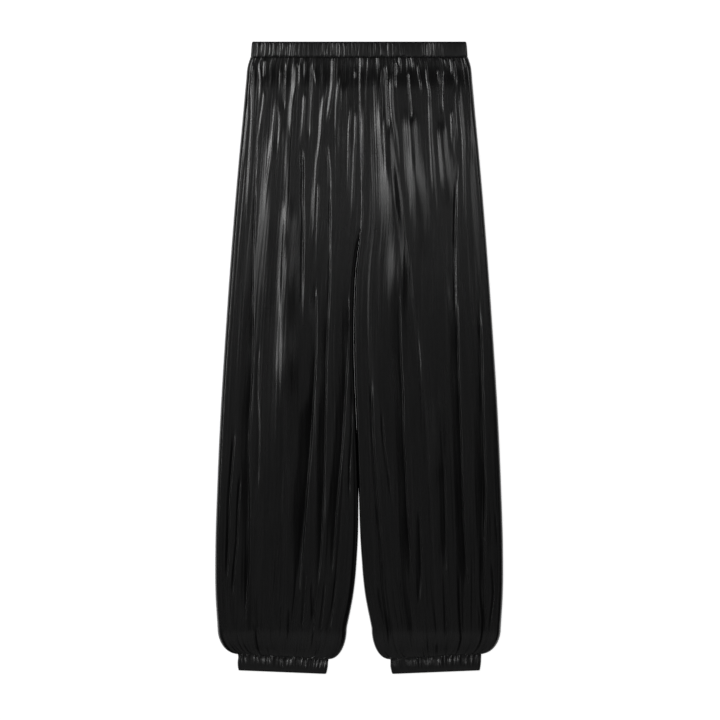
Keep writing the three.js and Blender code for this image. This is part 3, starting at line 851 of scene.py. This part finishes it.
def makeStitches(name, place, perimeter, height, kind):
    # one row all round a casing, half sunk in the cloth
    share = 1 - stitch["fromSeam"] / height if kind == "waist" else stitch["fromSeam"] / height
    far = 2 * share - 1
    across = math.acos(-math.copysign(abs(far) ** (1 / band["seamCrown"]), far)) / (2 * math.pi)
    count = round(perimeter / stitch["pitch"])
    middles = np.arange(count) / count
    step = stitch["lieShare"] * stitch["length"] / perimeter

    def spots(shift, layer):
        return np.stack(place((middles + shift) % 1, np.full(count, layer * across))[0], 1)

    rows = (spots(-step, 1), spots(0, 1), spots(step, 1), spots(0, -1))
    bm = bmesh.new()
    for before, middle, after, under in zip(*rows):
        along = Vector(after - before).normalized()
        out = Vector(middle - under)
        out = (out - along * out.dot(along)).normalized()
        turn = Matrix((along, out.cross(along), out)).transposed().to_4x4()
        size = Matrix.Diagonal((stitch["length"] / 2, stitch["width"] / 2, stitch["height"] / 2, 1))
        spot = Matrix.Translation(Vector(middle))
        bmesh.ops.create_uvsphere(bm, u_segments=stitch["segments"], v_segments=stitch["rings"], radius=1,
                                  matrix=spot @ turn @ size)
    bmesh.ops.scale(bm, vec=(mm, mm, mm), verts=bm.verts)
    mesh = bpy.data.meshes.new(name)
    bm.to_mesh(mesh)
    bm.free()
    piece = addPiece(name, mesh, thread)
    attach(piece, "root")
    return piece


casings = [
    dict(name="waistbandCasing", node="waistband", ends=waistbandEnds, kind="waist", seed=5,
         cut=(0.9, 0.025)),
    dict(name="leftCuffCasing", node="left_cuff", ends=cuffEnds, kind="cuff", seed=7, cut=(0.39, 0.023)),
    dict(name="rightCuffCasing", node="right_cuff", ends=mirroredEnds(cuffEnds), kind="cuff", seed=9,
         cut=(0.39, 0.023)),
]
for casing in casings:
    makeBand(**casing)
print("waistband and cuffs made")

studio = {
    "camera": (0.0013, -0.0034, 4),
    "sensor": 36,
    "viewWidth": 1.1387,  # metres across the picture, at the cloth
    "clothHeight": 0.006,
    "floorSize": 6,
    "floorDrop": 0.0003,
    "floorWhite": 0.9,
    "floorRoughness": 0.9,
    "floorGlow": 0.98,
    "worldGrey": 0.01,
}
# each of these faces straight down: its place, its size across and along the garment, and its power
softboxes = [
    dict(name="overheadSoftbox", place=(0.1, 0.52, 3.2), size=(1.2, 0.4), power=0.62),
    dict(name="leftFootSoftbox", place=(-0.34, -0.46, 3.2), size=(0.46, 1.3), power=0.27),
    dict(name="rightFootSoftbox", place=(0.34, -0.46, 3.2), size=(0.5, 1.3), power=0.26),
    dict(name="cuffSoftbox", place=(0, -1.27, 3.2), size=(2.4, 0.46), power=0.7),
    dict(name="hemSoftbox", place=(0, -2.2, 3.2), size=(2.6, 1.4), power=1.8),
    dict(name="keySoftbox", place=(-1.7, 1.05, 3.2), size=(1, 0.8), power=19),
    dict(name="fillSoftbox", place=(1.7, 1.05, 3.2), size=(1, 0.8), power=6),
    dict(name="leftGlow", place=(-1, 0.56, 3.2), size=(0.4, 0.5), power=1.7),
    dict(name="rightGlow", place=(1, 0.56, 3.2), size=(0.4, 0.5), power=0.8),
    dict(name="thighGlow", place=(-1.95, 0.1, 3.2), size=(0.5, 0.44), power=5),
]
# and more of them stand upright round the garment, and face it
uprightSoftboxes = {"count": 4, "firstTurn": 20, "distance": 5.5, "height": 2.6, "size": (7, 4), "power": 11}


def addFloor():
    bm = bmesh.new()
    bmesh.ops.create_grid(bm, x_segments=1, y_segments=1, size=studio["floorSize"])
    bmesh.ops.translate(bm, verts=bm.verts, vec=(0, 0, -studio["floorDrop"]))
    mesh = bpy.data.meshes.new("floor")
    bm.to_mesh(mesh)
    bm.free()
    white = (studio["floorWhite"],) * 3
    material, shader = newMaterial("paleFloor", white)
    shader.inputs["Roughness"].default_value = studio["floorRoughness"]
    shader.inputs["Emission Color"].default_value = (*white, 1)
    shader.inputs["Emission Strength"].default_value = studio["floorGlow"]
    floor = addPiece("floor", mesh, material)


def addSoftbox(name, place, size, power, turn=(0, 0, 0)):
    light = bpy.data.lights.new(name, "AREA")
    light.shape = "RECTANGLE"
    light.size, light.size_y = size
    light.energy = power
    lamp = bpy.data.objects.new(name, light)
    bpy.context.scene.collection.objects.link(lamp)
    lamp.location = place
    lamp.rotation_euler = turn
    lamp.visible_camera = False


def addUprightSoftboxes():
    box = uprightSoftboxes
    for k in range(box["count"]):
        azimuth = math.radians(box["firstTurn"]) + 2 * math.pi * k / box["count"]
        place = (box["distance"] * math.cos(azimuth), box["distance"] * math.sin(azimuth), box["height"])
        addSoftbox("uprightSoftbox%d" % (k + 1), place, box["size"], box["power"],
                   (math.pi / 2, 0, azimuth + math.pi / 2))


def addCamera():
    camera = bpy.data.cameras.new("camera")
    camera.sensor_width = studio["sensor"]
    distance = studio["camera"][2] - studio["clothHeight"]
    camera.lens = camera.sensor_width * distance / studio["viewWidth"]
    holder = bpy.data.objects.new("camera", camera)
    holder.location = studio["camera"]
    bpy.context.scene.collection.objects.link(holder)
    bpy.context.scene.camera = holder


def addWorld():
    world = bpy.data.worlds.new("studio")
    world.use_nodes = True
    background = world.node_tree.nodes["Background"]
    background.inputs["Color"].default_value = (studio["worldGrey"],) * 3 + (1,)
    bpy.context.scene.world = world
    bpy.context.scene.view_settings.view_transform = "Standard"


addFloor()
for softbox in softboxes:
    addSoftbox(**softbox)
addUprightSoftboxes()
addCamera()
addWorld()
print("studio set")
